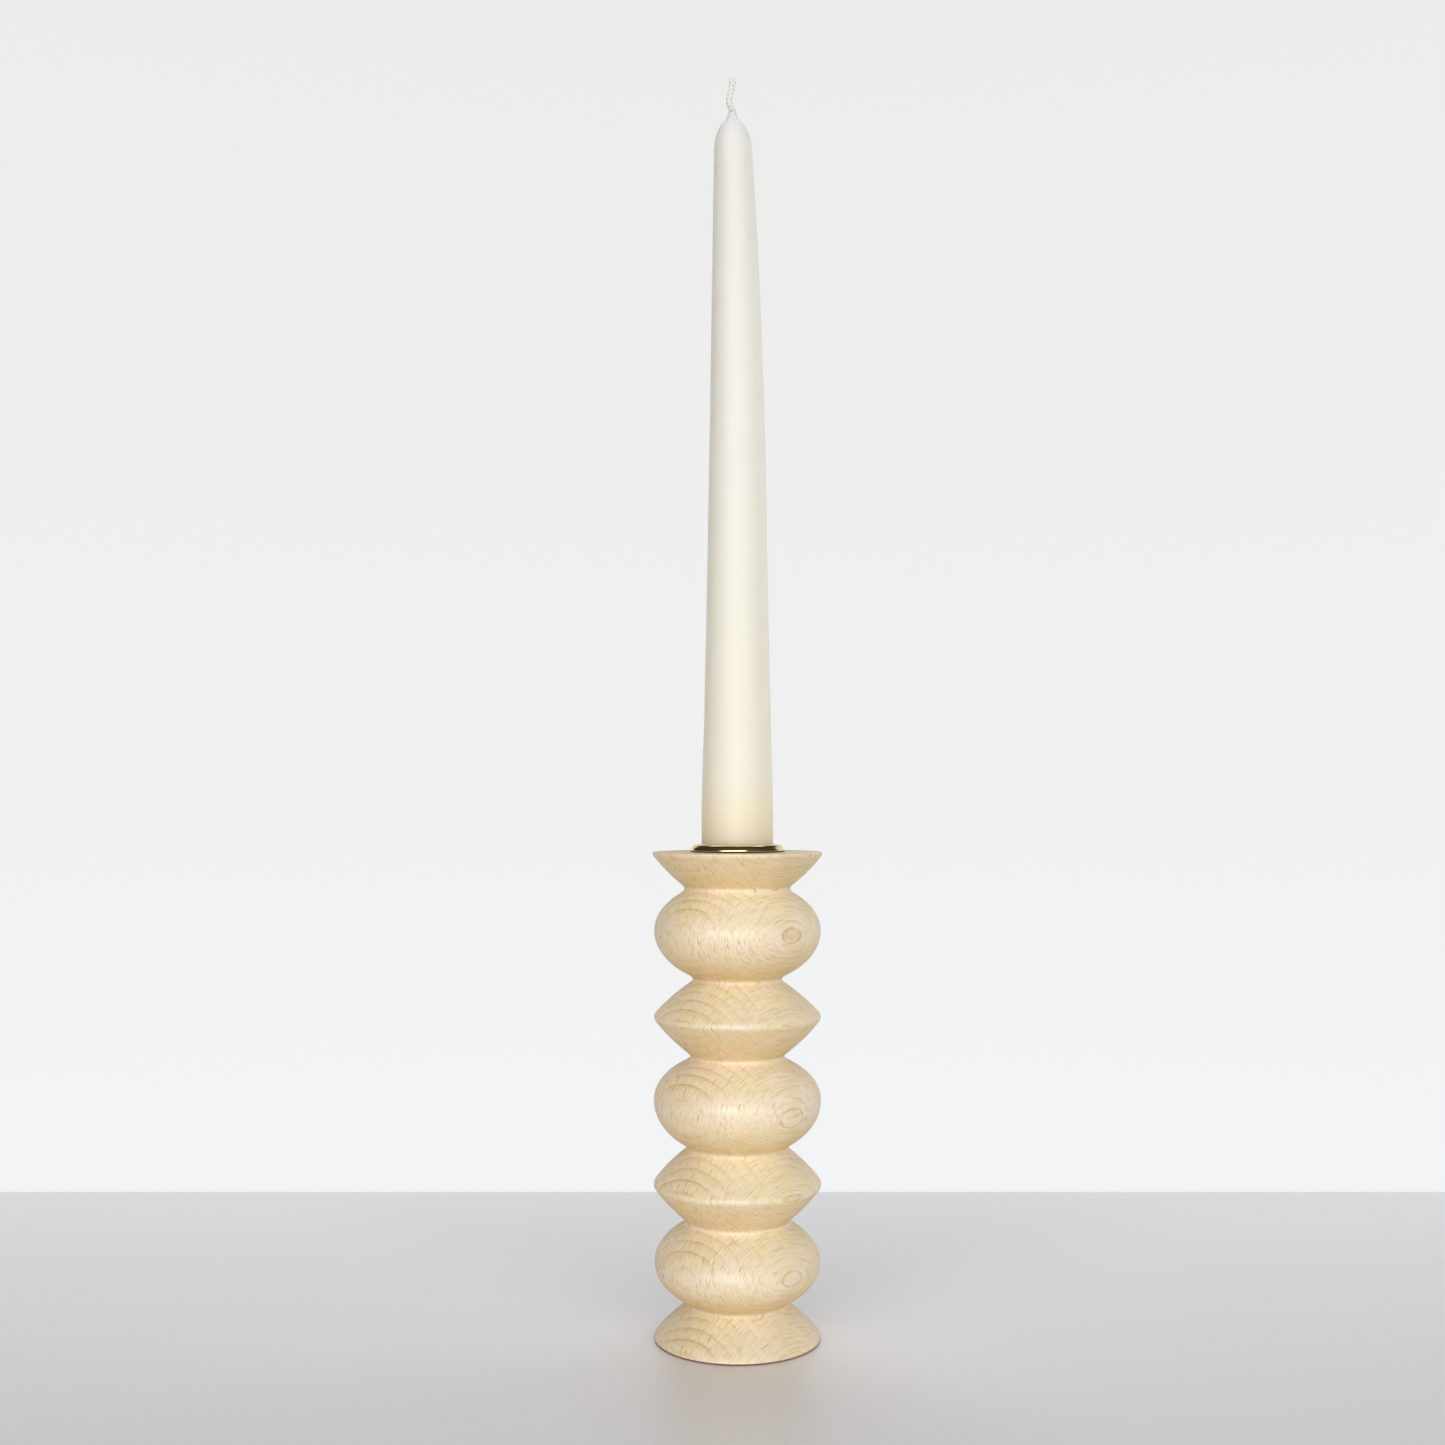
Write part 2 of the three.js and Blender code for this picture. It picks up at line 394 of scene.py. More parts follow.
def wick_mesh(rng):
    """Three strands plaited along the candle's middle, with loose fibres on the bare end."""
    start = BODY_HEIGHT - CUP_DEPTH + WICK_START
    inside = [(bow(z), z) for z in (start, 190, BOW_START, 275, 300, 325, 345, 357)]
    line = catmull_rom([(x, 0.0, z) for x, z in inside + WICK_TIP], WICK_STEP)
    along = np.r_[0, np.cumsum(np.linalg.norm(np.diff(line, axis=0), axis=1))]
    total = along[-1]
    tangent = np.gradient(line, axis=0)
    tangent /= np.linalg.norm(tangent, axis=1)[:, None]
    depth = np.array([0.0, 1.0, 0.0])
    sideways = np.cross(depth, tangent)
    open_end = np.clip((along - (total - WICK_OPEN)) / WICK_OPEN, 0, 1)
    sway = WICK_SWAY * (1 + 0.55 * open_end)
    vertices, faces = [], []

    def keep(part):
        points, polygons = part
        base = sum(len(v) for v in vertices)
        vertices.append(points)
        faces.extend([[base + i for i in f] for f in polygons])

    for strand in range(3):
        phase = 2 * np.pi * (along / WICK_PITCH + strand / 3)
        path = line + sideways * (sway * np.sin(phase))[:, None]
        path = path + depth * (WICK_CROSS * np.sin(2 * phase))[:, None]
        ease = np.minimum(1, np.minimum(along / 0.3, (total - along) / 0.45 + 0.3))
        radii = STRAND * (0.35 + 0.65 * np.clip(ease, 0, 1)) * (1 + 0.06 * np.sin(9 * phase))
        keep(tube(path, radii, 8, depth))
    bare = np.flatnonzero(line[:, 2] > DOME_Z + WICK_BARE)
    for k in range(FIBRES):
        at_end = k % 2 == 0
        i = len(line) - 1 if at_end else int(rng.choice(bare))
        angle = rng.uniform(0, 2 * np.pi)
        out = sideways[i] * math.cos(angle) + depth * math.sin(angle)
        root = line[i] + out * (rng.uniform(0.1, 0.75) if at_end else 0.72)
        reach = rng.uniform(0.25, 0.75)
        lean = tangent[i] * rng.uniform(0.5, 1.2) + out * rng.uniform(0.1, 0.5)
        curl = out * rng.uniform(-0.25, 0.35)
        t = np.linspace(0, 1, 5)[:, None]
        path = root - tangent[i] * 0.15 + lean * reach * t + curl * reach * t**2
        keep(tube(path, np.linspace(0.045, 0.015, 5), 4, np.cross(lean, [0.3, 0.2, 0.9])))
    return np.concatenate(vertices) * MM, faces


# ---------------------------------------------------------------- materials


class Nodes:
    """A node tree, with short ways to add to it."""

    def __init__(self, tree):
        self.tree = tree

    def add(self, kind, inputs=(), **settings):
        node = self.tree.nodes.new(kind)
        for key, value in settings.items():
            setattr(node, key, value)
        for key, value in dict(inputs).items():
            self.feed(node.inputs[key], value)
        return node

    def feed(self, socket, value):
        if isinstance(value, bpy.types.NodeSocket):
            self.tree.links.new(value, socket)
        else:
            socket.default_value = value

    def math(self, operation, a, b=0.0, clamp=False):
        return self.add("ShaderNodeMath", {0: a, 1: b}, operation=operation, use_clamp=clamp).outputs[0]

    def times(self, a, b):
        return self.math("MULTIPLY", a, b)

    def plus(self, a, b):
        return self.math("ADD", a, b)

    def vector(self, x, y, z):
        return self.add("ShaderNodeCombineXYZ", {"X": x, "Y": y, "Z": z}).outputs[0]

    def scaled(self, x, y, z):
        """The position, with each axis measured in its own number of millimetres."""
        sizes = (1 / (x * MM), 1 / (y * MM), 1 / (z * MM))
        return self.add(
            "ShaderNodeVectorMath", {0: self.position, 1: sizes}, operation="MULTIPLY"
        ).outputs[0]

    def noise(self, vector, detail, rough, seed):
        """Noise round 0, from about -1 to 1."""
        found = self.add(
            "ShaderNodeTexNoise",
            {"Vector": vector, "W": seed, "Scale": 1.0, "Detail": detail, "Roughness": rough},
            noise_dimensions="4D",
        )
        return self.times(self.math("SUBTRACT", found.outputs["Fac"], 0.5), 2.0)

    def ramp(self, factor, stops, smooth=True):
        """A number or a colour for each place along 0 to 1."""
        node = self.add("ShaderNodeValToRGB", {"Fac": factor})
        ramp = node.color_ramp
        ramp.interpolation = "EASE" if smooth else "LINEAR"
        while len(ramp.elements) < len(stops):
            ramp.elements.new(1.0)
        for element, (place, value) in zip(ramp.elements, stops):
            element.position = place
            element.color = (*value, 1.0) if isinstance(value, tuple) else (value, value, value, 1.0)
        return node.outputs["Color"]

    def mix(self, factor, a, b):
        node = self.add("ShaderNodeMix", data_type="RGBA")
        for socket, value in zip((node.inputs[0], node.inputs[6], node.inputs[7]), (factor, a, b)):
            if isinstance(value, tuple) and len(value) == 3:
                value = (*value, 1.0)
            self.feed(socket, value)
        return node.outputs[2]

    def bump(self, height, distance, strength):
        """Stands the surface up by distance, in mm, where height is 1."""
        return self.add(
            "ShaderNodeBump", {"Height": height, "Distance": distance * MM, "Strength": strength}
        ).outputs[0]


class Shader(Nodes):
    """A new material's node tree."""

    def __init__(self, name):
        self.material = bpy.data.materials.new(name)
        self.material.use_nodes = True
        super().__init__(self.material.node_tree)
        self.surface = next(n for n in self.tree.nodes if n.type == "BSDF_PRINCIPLED")
        place = self.add("ShaderNodeTexCoord")
        self.position = place.outputs["Object"]
        self.normal = place.outputs["Normal"]
        split = self.add("ShaderNodeSeparateXYZ", {"Vector": self.position})
        self.x, self.y, self.z = split.outputs

    def set(self, **values):
        """Sets the surface's own sockets: Base_Color=... sets Base Color."""
        for key, value in values.items():
            self.feed(self.surface.inputs[key.replace("_", " ")], value)


# Where the middle of the tree stood, from the turning's axis, in metres
PITH = (-0.0945, -0.1087)
PITH_DISTANCE = math.hypot(*PITH)
PITH_ANGLE = math.atan2(-PITH[1], -PITH[0])
RING = 2.8
RING_AT = 125.5

# A ring's number at RING_AT, which keeps all the numbers above 0, and its tone across
FIRST_RING = 60.0
RING_BAND = [(0.0, 0.25), (0.06, 0.0), (0.4, 0.05), (0.7, 0.3), (0.88, 0.75), (0.95, 1.0), (1.0, 0.25)]

# How far across the turning reaches from its axis, and about where rays are cut flat, in mm
BLANK_REACH = 25
FLAT_CUT_AT = 25.2

# The small rays: width, height and length in mm, size within a cell, density and seed
FINE_RAYS = (0.5, 4.6, 12, 0.28, 1.0, 0.37)
DASH_RAYS = (0.72, 6.0, 14, 0.17, 0.85, 5.1)
PINK = (0.83, 0.70, 0.575)
YELLOW = (0.79, 0.68, 0.44)
# End-grain tones, darker and more orange: real on end grain, and also painted shade where the cut faces down
END_GRAIN_PINK_WITH_PAINTED_SHADE = (0.81, 0.61, 0.36)
END_GRAIN_YELLOW_WITH_PAINTED_SHADE = (0.775, 0.595, 0.285)
# Painted light: lighter, cooler tones for cuts that face upward
PINK_WITH_PAINTED_TOP_LIGHT = (0.85, 0.735, 0.57)
YELLOW_WITH_PAINTED_TOP_LIGHT = (0.82, 0.72, 0.45)
TAN = (0.60, 0.405, 0.205)
LATE_GOLD = (0.66, 0.455, 0.21)
RAY_BROWN = (0.31, 0.155, 0.06)
RAY_GOLD = (0.57, 0.385, 0.15)
RAY_TAN = (0.55, 0.355, 0.175)
# Painted shade on the brass rim where it meets the wood
RIM_FOOT_PAINTED_SHADE = (0.10, 0.045, 0.02)
# Painted contact shadow along the foot's bottom edge
FOOT_CONTACT_SHADE = (0.20, 0.075, 0.035)

# The broad rays that the turning cuts flat: distance from the axis, height, half height,
# depth of colour, and how far the sheet leans
RAY_SHEET = 0.11
BROAD_RAYS = [
    (24.61, 120.8, 5.5, 1.0, 0.0),
    (24.80, 120.2, 5.5, 0.7, 0.05),
    (24.82, 71.0, 7.0, 0.9, -0.187),
    (24.10, 71.0, 5.5, 0.6, -0.187),
    (24.78, 45.9, 2.8, 1.0, 0.0),
    (23.25, 49.0, 2.4, 0.8, 0.0),
    (18.60, 53.2, 2.0, 0.7, 0.0),
    (18.05, 53.6, 2.0, 0.5, 0.0),
    (24.48, 23.2, 6.0, 0.9, 0.0),
    (24.30, 2.2, 2.0, 0.8, 0.0),
    (21.58, 99.6, 3.0, 0.8, 0.0),
    (20.90, 100.5, 2.5, 0.4, 0.0),
    (24.10, 143.4, 1.8, 0.8, 0.0),
    (22.80, 129.0, 2.2, 0.5, 0.0),
]


def ray_layer(s, across, radial, width, height, length, size, density, seed):
    """Medullary rays: thin upright sheets that run out from the pith, each lens-shaped.

    Returns how far each place is inside a ray, from 0 to 1, with rays of many strengths.
    """
    place = s.vector(
        s.times(across, 1 / (width * MM)),
        s.plus(s.times(s.z, 1 / (height * MM)), seed),
        s.times(radial, 1 / (length * MM)),
    )
    cell = s.add(
        "ShaderNodeTexVoronoi",
        {"Vector": place, "Scale": 1.0, "Randomness": 1.0},
        voronoi_dimensions="3D",
        feature="F1",
    )
    inside = s.math("SUBTRACT", 1.0, s.times(cell.outputs["Distance"], 1 / size), clamp=True)
    chance = s.add("ShaderNodeSeparateColor", {"Color": cell.outputs["Color"]}).outputs["Red"]
    strength = s.ramp(chance, [(1 - density, 0.0), (1.0, 1.0)], smooth=False)
    return s.times(s.math("POWER", inside, 0.6), strength)


def broad_rays(s, across):
    """The few rays that are large enough to show as arcs and closed loops."""
    broken = s.math("ADD", s.times(s.noise(s.scaled(2.2, 2.2, 2.2), 2, 0.5, 6.0), 1.3), 0.75, clamp=True)
    found = 0.0
    for place, height, half, depth, lean in BROAD_RAYS:
        above = s.math("SUBTRACT", s.z, height * MM)
        off = s.math("SUBTRACT", s.plus(across, s.times(above, lean)), place * MM)
        sheet = s.math("SUBTRACT", 1.0, s.times(s.math("ABSOLUTE", off), 1 / (RAY_SHEET * MM)), clamp=True)
        within = s.math("SUBTRACT", 3.0, s.times(s.math("ABSOLUTE", above), 3 / (half * MM)), clamp=True)
        found = s.math("MAXIMUM", found, s.times(s.times(sheet, within), depth))
    return s.times(found, broken)


def tree_place(s):
    """Where a place stood in the tree, in metres: how far out from the pith, and how far round.

    Both wander a little from the true circle and from the true ray, as they do in wood.
    """
    dx = s.math("SUBTRACT", s.x, PITH[0])
    dy = s.math("SUBTRACT", s.y, PITH[1])
    radial = s.math("SQRT", s.plus(s.times(dx, dx), s.times(dy, dy)))
    across = s.times(s.math("SUBTRACT", PITH_ANGLE, s.math("ARCTAN2", dy, dx)), PITH_DISTANCE)
    wander = s.plus(
        s.times(s.noise(s.scaled(26, 26, 90), 2, 0.5, 1.0), 0.9 * MM),
        s.times(s.noise(s.scaled(6, 6, 12), 2, 0.5, 1.5), 0.3 * MM),
    )
    waver = s.plus(
        s.times(s.noise(s.scaled(20, 20, 60), 2, 0.5, 4.0), 0.08 * MM),
        s.times(s.noise(s.scaled(2.5, 2.5, 5), 2, 0.5, 9.0), 0.03 * MM),
    )
    return s.plus(radial, wander), s.plus(across, waver)


def cut_direction(s):
    """How the cut lies in the wood: flat along the rays, across the grain, and facing upward. The last two
    also steer the painted shade on the undersides and the painted light on the tops.
    """
    split = s.add("ShaderNodeSeparateXYZ", {"Vector": s.normal})
    facing = s.plus(
        s.times(split.outputs["X"], -PITH[1] / PITH_DISTANCE),
        s.times(split.outputs["Y"], PITH[0] / PITH_DISTANCE),
    )
    end = s.ramp(s.math("ABSOLUTE", split.outputs["Z"]), [(0.15, 0.0), (0.85, 1.0)], smooth=False)
    upward = s.ramp(split.outputs["Z"], [(0.1, 0.0), (0.8, 1.0)], smooth=False)
    return s.math("ABSOLUTE", facing), end, upward


def late_wood(s, radial):
    """How dark the late wood is, from 0 to 1, in rings of uneven width and strength."""
    rings = s.times(s.math("SUBTRACT", radial, RING_AT * MM), 1 / (RING * MM))
    spacing = s.noise(s.vector(s.times(radial, 1 / (9 * MM)), 0.0, 0.0), 1, 0.5, 8.0)
    rings = s.plus(s.plus(rings, s.times(spacing, 0.35)), FIRST_RING)
    late = s.ramp(s.math("FRACT", rings), RING_BAND)
    age = s.add("ShaderNodeTexWhiteNoise", {"W": s.math("FLOOR", rings)}, noise_dimensions="1D")
    return s.times(late, s.plus(s.times(age.outputs["Value"], 0.55), 0.6))


def shown_late_wood(s, late, across, facing, end, upward):
    """The late wood as the cut shows it: broken, strongest on end grain, weaker to one side."""
    edge_on = s.math("SUBTRACT", 1.0, s.times(facing, 0.95))
    patchy = s.plus(s.noise(s.scaled(7, 7, 12), 1, 0.5, 11.0), s.noise(s.scaled(1.6, 1.6, 2.5), 1, 0.5, 14.0))
    late = s.times(late, s.times(edge_on, s.math("ADD", s.times(patchy, 0.8), 0.85, clamp=True)))
    late = s.times(late, s.plus(0.2, s.plus(s.times(end, 0.9), s.times(upward, 0.8))))
    fading = s.ramp(s.times(across, 1 / (BLANK_REACH * MM)), [(0.25, 1.0), (0.95, 0.25)])
    return s.times(late, fading)


def ray_flecks(s, across, radial, face_on, end, upward):
    """The small rays, as three layers from 0 to 1: a soft leaf, fine flecks and dark dashes."""
    leaf = s.vector(
        s.times(across, 1 / (0.34 * MM)), s.times(s.z, 1 / (1.7 * MM)), s.times(radial, 1 / (7 * MM))
    )
    leaf = s.plus(s.times(s.noise(leaf, 1.5, 0.6, 7.0), 0.5), 0.5)
    leaf = s.ramp(leaf, [(0.48, 0.0), (0.66, 1.0)], smooth=False)
    clear = s.ramp(s.times(across, 1 / (BLANK_REACH * MM)), [(0.2, 1.0), (0.9, 0.5)])
    fine = s.times(ray_layer(s, across, radial, *FINE_RAYS), clear)
    fine = s.times(fine, s.math("SUBTRACT", 1.0, s.times(upward, 0.35)))
    shown = s.math("SUBTRACT", 1.0, s.plus(s.times(end, 0.55), s.times(face_on, 0.4)))
    dash = s.times(s.times(ray_layer(s, across, radial, *DASH_RAYS), clear), shown)
    return leaf, fine, dash


def pale_wood(s, across, end, upward):
    """The wood's ground: pink and yellow in patches, and golden where a ray is cut flat. Cuts that face
    upward take lighter, cooler tones as painted light from above. End grain takes darker, more orange tones,
    which on the undersides are also painted shade.
    """
    hue = s.plus(s.noise(s.scaled(6, 6, 9), 2, 0.5, 12.0), s.noise(s.scaled(1.1, 1.1, 1.8), 2, 0.6, 13.0))
    hue = s.math("ADD", s.times(hue, 1.3), 0.5, clamp=True)
    # Painted light on cuts that face upward, and end-grain tones that are partly painted shade on the
    # undersides
    pink = s.mix(upward, s.mix(end, PINK, END_GRAIN_PINK_WITH_PAINTED_SHADE), PINK_WITH_PAINTED_TOP_LIGHT)
    yellow = s.mix(upward, s.mix(end, YELLOW, END_GRAIN_YELLOW_WITH_PAINTED_SHADE), YELLOW_WITH_PAINTED_TOP_LIGHT)
    flat_cut = s.ramp(s.times(across, 1 / (FLAT_CUT_AT * MM)), [(0.97, 0.0), (0.99, 1.0)])
    golden = s.math("ADD", s.times(s.noise(s.scaled(1.3, 1.3, 1.0), 2, 0.6, 15.0), 1.2), 0.35, clamp=True)
    return s.mix(s.times(s.times(flat_cut, golden), 0.5), s.mix(hue, pink, yellow), RAY_GOLD)


def beech():
    s = Shader("beech")
    radial, across = tree_place(s)
    facing, end, upward = cut_direction(s)
    face_on = s.math("POWER", facing, 4.0)
    late = shown_late_wood(s, late_wood(s, radial), across, facing, end, upward)
    leaf, fine, dash = ray_flecks(s, across, radial, face_on, end, upward)
    cloud = s.noise(s.scaled(16, 16, 40), 3, 0.55, 2.0)
    fibre = s.noise(s.scaled(0.16, 0.16, 2.2), 3, 0.6, 3.0)

    colour = pale_wood(s, across, end, upward)
    colour = s.mix(s.math("MULTIPLY", late, 0.75, clamp=True), colour, LATE_GOLD)
    colour = s.mix(s.math("ADD", s.times(cloud, 0.20), 0.06, clamp=True), colour, TAN)
    colour = s.mix(s.math("ADD", s.times(fibre, 0.13), 0.07, clamp=True), colour, TAN)
    colour = s.mix(s.times(leaf, s.plus(0.42, s.times(face_on, -0.2))), colour, RAY_TAN)
    colour = s.mix(s.math("MULTIPLY", fine, 1.85, clamp=True), colour, s.mix(face_on, RAY_TAN, RAY_GOLD))
    colour = s.mix(s.math("MULTIPLY", dash, 3.0, clamp=True), colour, s.mix(face_on, RAY_BROWN, RAY_GOLD))
    colour = s.mix(broad_rays(s, across), colour, RAY_GOLD)
    # Painted shade: the wood turns dark brown in its lowest 0.35 to 0.7 mm, a contact shadow where the foot
    # meets the table
    painted_contact_shadow = s.ramp(s.times(s.z, 1 / MM), [(0.35, 1.0), (0.7, 0.0)])
    colour = s.mix(painted_contact_shadow, colour, FOOT_CONTACT_SHADE)

    height = s.plus(s.times(fibre, 0.35), s.times(late, 0.25))
    height = s.math("SUBTRACT", height, s.plus(s.times(fine, 0.35), s.times(dash, 0.9)))
    rough = s.plus(0.48, s.plus(s.times(fibre, 0.05), s.times(dash, 0.15)))
    s.set(Base_Color=colour, Roughness=rough, Normal=s.bump(height, 0.02, 0.7))
    turned_away = s.add("ShaderNodeLayerWeight", {"Blend": 0.5}).outputs["Facing"]
    gloss = s.times(s.math("SUBTRACT", 1.0, turned_away), 0.9)
    s.set(Specular_IOR_Level=0.08, Coat_Weight=gloss, Coat_Roughness=0.36, Coat_IOR=1.68)
    return s.material


BRASS_PALE = (0.80, 0.70, 0.38)
BRASS_DEEP = (0.66, 0.53, 0.23)


def brass():
    s = Shader("brass")
    angle = s.math("ARCTAN2", s.y, s.x)
    drawn = s.noise(s.vector(s.times(s.z, 1 / (0.25 * MM)), s.times(angle, 1.2), 0.0), 3, 0.6, 1.0)
    cloud = s.noise(s.scaled(5, 5, 5), 3, 0.6, 2.0)
    speck = s.noise(s.scaled(0.5, 0.5, 0.5), 2, 0.5, 3.0)
    colour = s.mix(s.math("ADD", s.times(cloud, 0.3), 0.25, clamp=True), BRASS_PALE, BRASS_DEEP)
    radius = s.math("SQRT", s.plus(s.times(s.x, s.x), s.times(s.y, s.y)))
    past_bore = s.times(s.math("SUBTRACT", radius, CUP_BORE * MM), 1 / MM)
    above_wood = s.times(s.math("SUBTRACT", s.z, BODY_HEIGHT * MM), 1 / MM)
    outside = s.ramp(past_bore, [(0.3, 0.0), (0.6, 1.0)])
    # Painted shade: the rim's outer face turns dark brown up to 0.3 to 0.45 mm above the wood, where it meets
    # the collar
    painted_rim_foot_shade = s.times(outside, s.ramp(above_wood, [(0.3, 1.0), (0.45, 0.0)]))
    colour = s.mix(painted_rim_foot_shade, colour, RIM_FOOT_PAINTED_SHADE)
    rough = s.plus(0.15, s.plus(s.times(cloud, 0.04), s.times(speck, 0.03)))
    sunk = s.math("LESS_THAN", above_wood, 0.0)
    waxed = s.times(s.math("SUBTRACT", 1.0, outside), sunk)
    rough = s.plus(rough, s.times(waxed, 0.25))
    metal = s.math("SUBTRACT", 1.0, s.times(waxed, 0.5))
    s.set(Base_Color=colour, Metallic=metal, Roughness=rough, Normal=s.bump(drawn, 0.004, 0.6))
    return s.material


# The wax's tones, as shares of a length that starts a little below the collar, in mm
WAX_BELOW_COLLAR = 7.0
WAX_LENGTH = 227
WAX_TONES = [
    (0.0, (0.73, 0.66, 0.53)),
    (0.03, (0.79, 0.635, 0.42)),
    (0.065, (0.74, 0.63, 0.465)),
    (0.13, (0.70, 0.66, 0.56)),
    (0.6, (0.68, 0.665, 0.615)),
    (1.0, (0.65, 0.632, 0.6)),
]
WAX_CLOUD = (0.76, 0.70, 0.58)


def wax():
    s = Shader("wax")
    lowest = (BODY_HEIGHT - WAX_BELOW_COLLAR) * MM
    tone = s.ramp(s.math("DIVIDE", s.math("SUBTRACT", s.z, lowest), WAX_LENGTH * MM, clamp=True), WAX_TONES)
    cloud = s.noise(s.scaled(14, 14, 50), 3, 0.55, 2.0)
    bloom = s.noise(s.scaled(1.2, 1.2, 3.0), 4, 0.6, 5.0)
    colour = s.mix(s.math("ADD", s.times(cloud, 0.12), 0.06, clamp=True), tone, WAX_CLOUD)
    rough = s.plus(0.46, s.plus(s.times(bloom, 0.05), s.times(cloud, 0.04)))
    height = s.plus(s.times(cloud, 0.6), s.times(bloom, 0.3))
    s.set(Base_Color=colour, Roughness=rough, Normal=s.bump(height, 0.02, 0.6))
    s.set(Subsurface_Weight=1.0, Subsurface_Radius=(1.0, 0.85, 0.6), Subsurface_Scale=0.03)
    s.set(IOR=1.44, Specular_IOR_Level=0.6)
    return s.material


# The bare wick: waxed below a height, and dry above it within a short fade, in mm
WICK_WAXED = 365.5
WICK_FADE = 4.5
COTTON_PALE = (0.76, 0.74, 0.70)
COTTON_GREY = (0.60, 0.565, 0.50)
COTTON_WAXED = (0.66, 0.63, 0.57)


def cotton():
    s = Shader("cotton")
    fibre = s.noise(s.scaled(0.05, 0.05, 0.5), 3, 0.6, 1.0)
    dust = s.noise(s.scaled(0.4, 0.4, 0.6), 2, 0.5, 2.0)
    above = s.math("SUBTRACT", s.z, WICK_WAXED * MM)
    waxed = s.ramp(s.math("DIVIDE", above, WICK_FADE * MM, clamp=True), [(0.0, 1.0), (1.0, 0.0)])
    colour = s.mix(s.math("ADD", s.times(dust, 0.3), 0.15, clamp=True), COTTON_PALE, COTTON_GREY)
    colour = s.mix(s.times(waxed, 0.5), colour, COTTON_WAXED)
    rough = s.math("SUBTRACT", 0.85, s.times(waxed, 0.4))
    s.set(Base_Color=colour, Roughness=rough, Normal=s.bump(fibre, 0.03, 0.7), Sheen_Weight=0.25)
    return s.material


# ---------------------------------------------------------------- the object

rng = np.random.default_rng(7)

wood = lathe(body_section(), BODY_SEGMENTS, body_shape)
cup = lathe(cup_section(), CUP_SEGMENTS, cup_shape)
candle = lathe(candle_section(), CANDLE_SEGMENTS, candle_shape)

build("body_mesh", *wood, beech(), "holder", "turned_body", "beech")
build("cup_mesh", *cup, brass(), "holder", "brass_cup", "brass")
build("candle_mesh", *candle, wax(), "taper", "candle", "wax")
build("wick_mesh", *wick_mesh(rng), cotton(), "taper", "wick", "cotton")


# ---------------------------------------------------------------- stage, light and camera

TABLE_BACK = 0.181
TABLE_SIZE = 0.9
CAMERA = (-0.00443, -0.481, 0.1585)
SENSOR = 36.0
LENS = 40.26
SHIFT = 0.0571
TABLE_THICK = 0.03

# The table's painted light, darker at the front and lighter toward the back: where its change starts, and
# over what length
PAINTED_LIGHT_START = -0.1
PAINTED_LIGHT_LENGTH = 0.28


def table():
    s = Shader("table_top")
    mottle = s.noise(s.scaled(4, 4, 4), 3, 0.5, 1.0)
    # Painted light: the top is coloured darker at the front and lighter toward the back
    back = s.math("DIVIDE", s.plus(s.y, -PAINTED_LIGHT_START), PAINTED_LIGHT_LENGTH, clamp=True)
    colour = s.ramp(back, [(0.0, (0.775, 0.742, 0.722)), (1.0, (0.965, 0.935, 0.905))], smooth=False)
    s.set(Base_Color=colour, Roughness=s.plus(0.34, s.times(mottle, 0.03)))
    bpy.ops.mesh.primitive_cube_add(size=1.0)
    top = bpy.context.object
    top.name = "table_top"
    top.scale = (2 * TABLE_SIZE, TABLE_BACK + TABLE_SIZE, TABLE_THICK)
    top.location = (0, (TABLE_BACK - TABLE_SIZE) / 2, -TABLE_THICK / 2)
    bpy.ops.object.transform_apply(location=True, rotation=False, scale=True)
    top.data.materials.append(s.material)


# The studio's lights, as soft patches of a dome round the object. Azimuth is 0 behind the
# camera and grows to the right. Each is azimuth, half width, lowest and highest elevation,
# strength, how cool its white is, and whether a glossy surface mirrors it.
SOFTBOXES = [
    (-12, 30, -3, 11, 4.4, 0.0, True),
    (4, 42, -3, 14, 2.3, 0.06, False),
    (-2, 48, 14, 50, 1.7, 0.03, False),
    (62, 16, 0, 28, 1.1, 0.0, False),
    (-62, 14, 0, 28, 0.45, -0.3, False),
    (120, 14, 0, 28, 2.1, 0.02, False),
    (170, 56, -40, 30, 0.75, 0.02, True),
    (180, 46, -40, 16, 0.2, 0.02, True),
    (180, 25, 30, 52, 0.7, 0.1, True),
    (180, 46, 52, 74, 2.1, 0.14, True),
    (0, 190, 74, 95, 0.6, 0.14, False),
]
DOME_FILL = 0.05
DOME_TINT = (1.1, 0.78, 0.68)
PATCH_EDGE = 7.0
BACKDROP = [(-0.23, (0.896, 0.905, 0.921)), (0.0, (0.879, 0.879, 0.887)), (0.45, (0.838, 0.838, 0.823))]


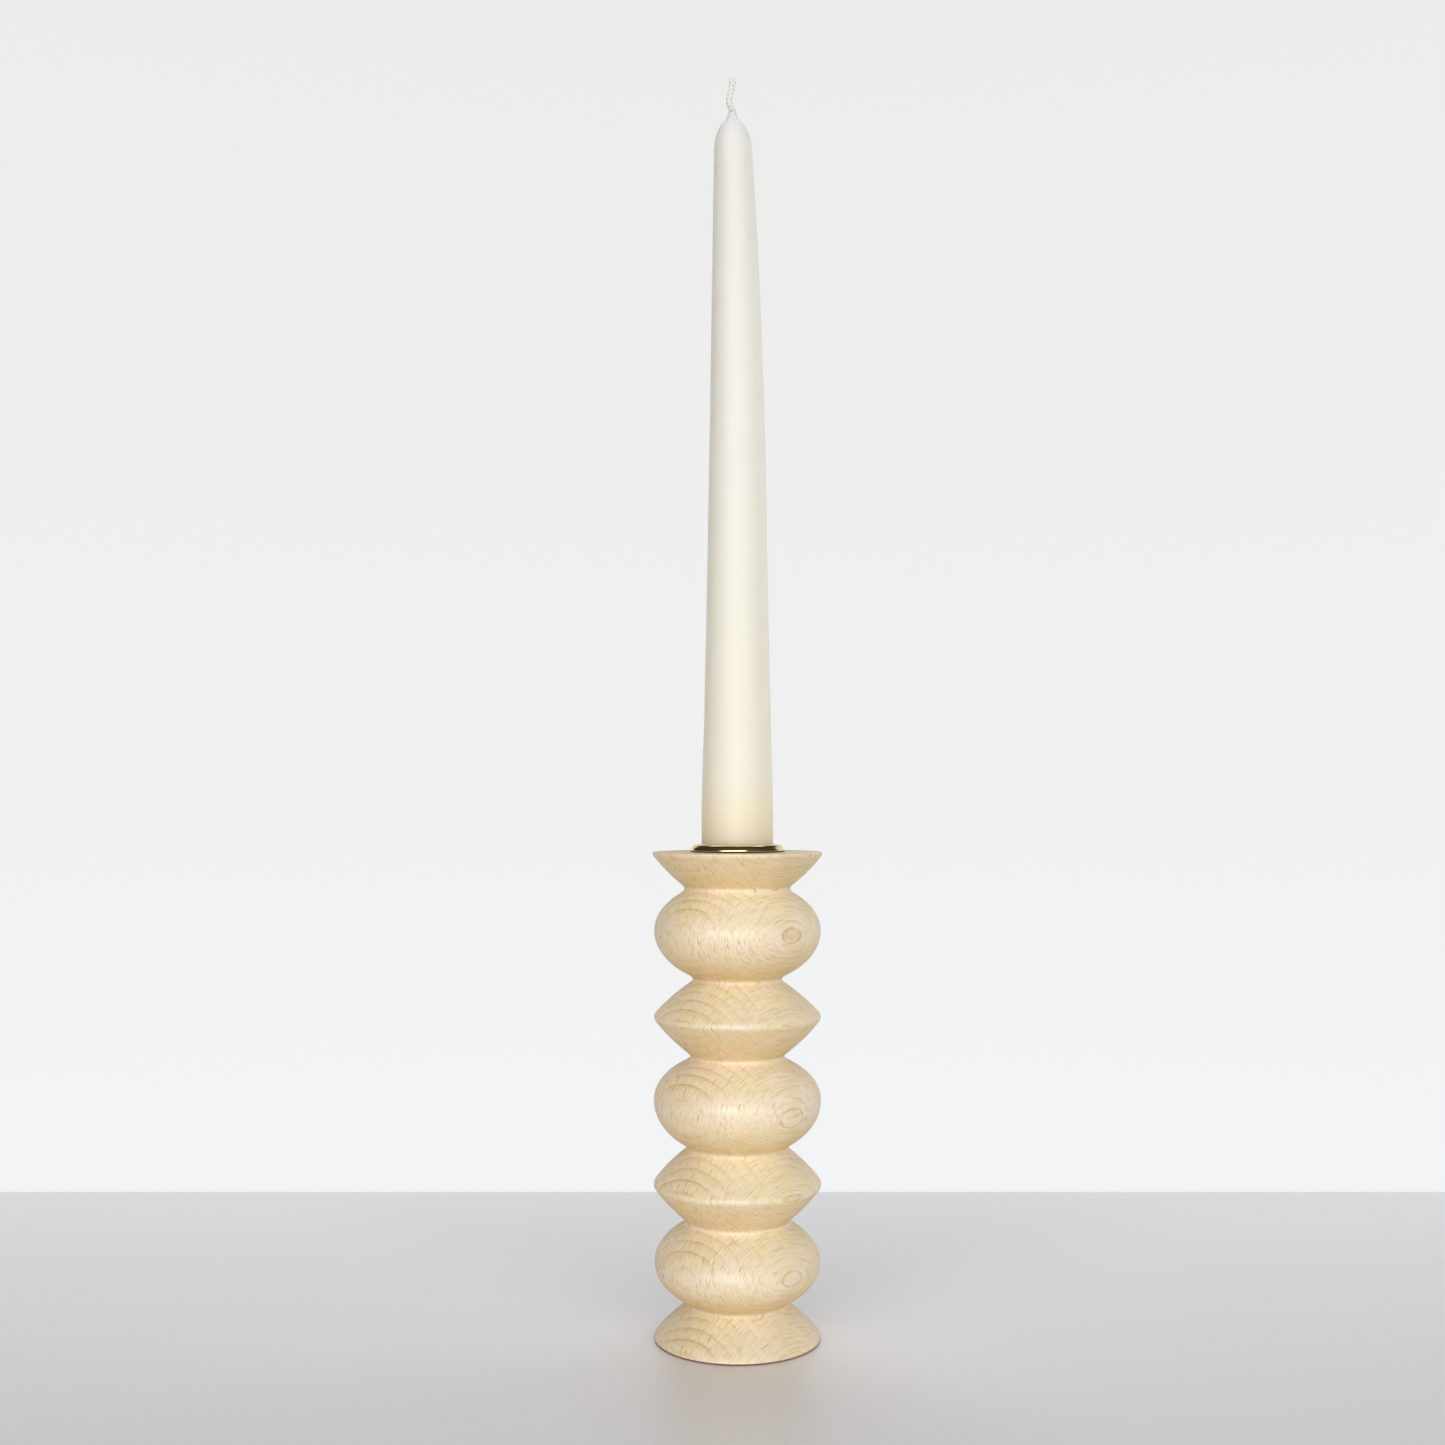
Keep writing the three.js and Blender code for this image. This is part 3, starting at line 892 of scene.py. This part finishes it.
def patch(s, toward, azimuth, half, low, high):
    """How far a direction is inside a patch of the dome, from 0 to 1, with soft edges."""
    x, y, z = toward
    angle = math.radians(azimuth)
    level = s.math("SQRT", s.plus(s.times(x, x), s.times(y, y)))
    facing = s.plus(s.times(x, math.sin(angle)), s.times(y, -math.cos(angle)))
    aside = s.math("ARCCOSINE", s.math("DIVIDE", facing, s.math("MAXIMUM", level, 1e-4)))
    height = s.math("ARCSINE", z)

    def rise(value, start, end):
        limits = {1: math.radians(start), 2: math.radians(end), 3: 0.0, 4: 1.0}
        return s.add("ShaderNodeMapRange", {0: value, **limits}, interpolation_type="SMOOTHSTEP").outputs[0]

    reach = PATCH_EDGE / 2
    wide = rise(aside, half + reach, half - reach)
    tall = s.times(rise(height, low - reach, low + reach), rise(height, high + reach, high - reach))
    return s.times(wide, tall)


def room():
    world = bpy.data.worlds.new("studio")
    bpy.context.scene.world = world
    world.use_nodes = True
    s = Nodes(world.node_tree)
    direction = s.add("ShaderNodeTexCoord").outputs["Generated"]
    toward = s.add("ShaderNodeSeparateXYZ", {"Vector": direction}).outputs
    path = s.add("ShaderNodeLightPath").outputs
    matte = s.math("SUBTRACT", 1.0, path["Is Glossy Ray"])
    light = [DOME_FILL * tint for tint in DOME_TINT]
    for azimuth, half, low, high, strength, cool, mirrored in SOFTBOXES:
        lit = s.times(patch(s, toward, azimuth, half, low, high), strength)
        if not mirrored:
            lit = s.times(lit, matte)
        tint = (1 - cool, 1.0, 1 + cool)
        light = [s.plus(total, s.times(lit, share)) for total, share in zip(light, tint)]
    lowest, highest = BACKDROP[0][0], BACKDROP[-1][0]
    up = s.math("DIVIDE", s.math("SUBTRACT", toward[2], lowest), highest - lowest, clamp=True)
    stops = [((z - lowest) / (highest - lowest), colour) for z, colour in BACKDROP]
    shown = s.mix(path["Is Camera Ray"], s.vector(*light), s.ramp(up, stops, smooth=False))
    s.feed(s.tree.nodes["Background"].inputs["Color"], shown)


def camera():
    data = bpy.data.cameras.new("camera")
    data.sensor_width = SENSOR
    data.lens = LENS
    data.shift_y = SHIFT
    seen_from = bpy.data.objects.new("camera", data)
    seen_from.location = CAMERA
    seen_from.rotation_euler = (math.radians(90), 0, 0)
    bpy.context.scene.collection.objects.link(seen_from)
    bpy.context.scene.camera = seen_from
    bpy.context.scene.view_settings.view_transform = "Standard"


table()
room()
camera()
